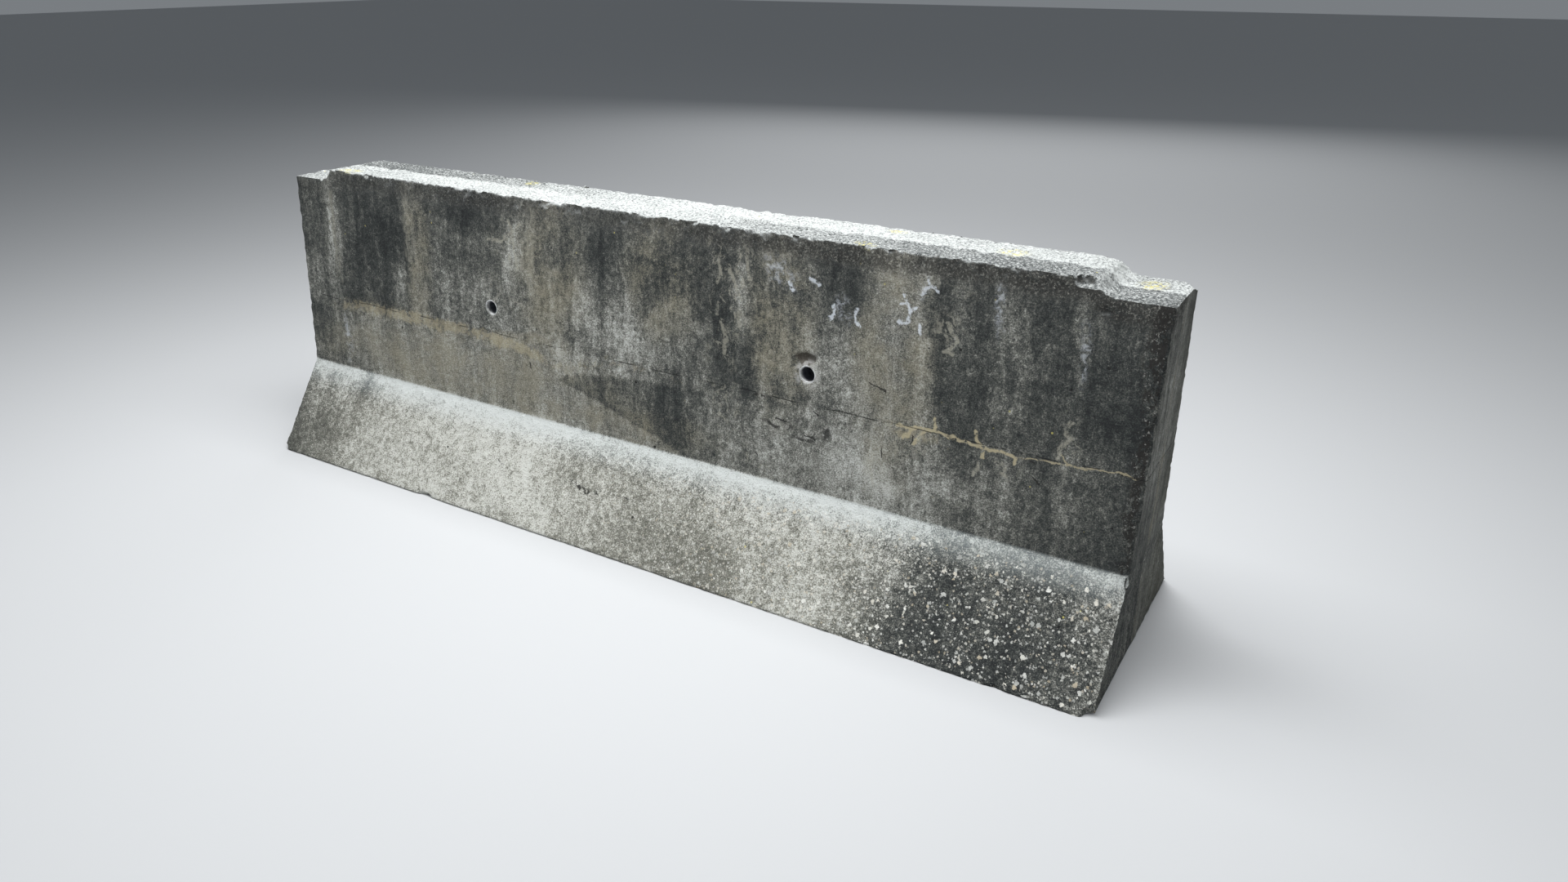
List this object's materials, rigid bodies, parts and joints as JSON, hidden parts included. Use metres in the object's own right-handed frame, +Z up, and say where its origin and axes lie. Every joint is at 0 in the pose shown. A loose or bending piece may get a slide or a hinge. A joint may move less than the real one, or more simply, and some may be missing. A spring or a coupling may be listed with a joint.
{
  "type": "concrete jersey barrier",
  "caption": "Precast concrete road safety barrier: battered stem on a sloping toe, lowered ledges at the ends of its top, sleeved lifting holes through the stem and a bar cage inside.",
  "frame": {"origin": "middle of the base, at ground level", "axes": "+X along the barrier, +Y across it with the front stem face towards -Y, +Z up"},
  "size_m": [2.44, 0.6026, 0.81],
  "materials": {
    "concrete": "rough weathered cast concrete",
    "sleeve_plastic": "matte grey pipe, weathered",
    "bar_steel": "ribbed bar, mill scale with light rust",
    "spacer_plastic": "moulded, matte"
  },
  "bodies": {
    "root": {"concrete_body": "concrete", "lifting_sleeve_left": "sleeve_plastic", "lifting_sleeve_right": "sleeve_plastic", "top_bar_front": "bar_steel", "upper_stem_bar_front": "bar_steel", "lower_stem_bar_front": "bar_steel", "knee_bar_front": "bar_steel", "toe_bar_front": "bar_steel", "top_bar_back": "bar_steel", "upper_stem_bar_back": "bar_steel", "lower_stem_bar_back": "bar_steel", "knee_bar_back": "bar_steel", "toe_bar_back": "bar_steel", "stirrup_01": "bar_steel", "stirrup_02": "bar_steel", "stirrup_03": "bar_steel", "stirrup_04": "bar_steel", "stirrup_05": "bar_steel", "stirrup_06": "bar_steel", "stirrup_07": "bar_steel", "stirrup_08": "bar_steel", "stirrup_09": "bar_steel", "stirrup_10": "bar_steel", "cover_spacers_front": "spacer_plastic", "cover_spacers_back": "spacer_plastic"}
  },
  "joints": []
}
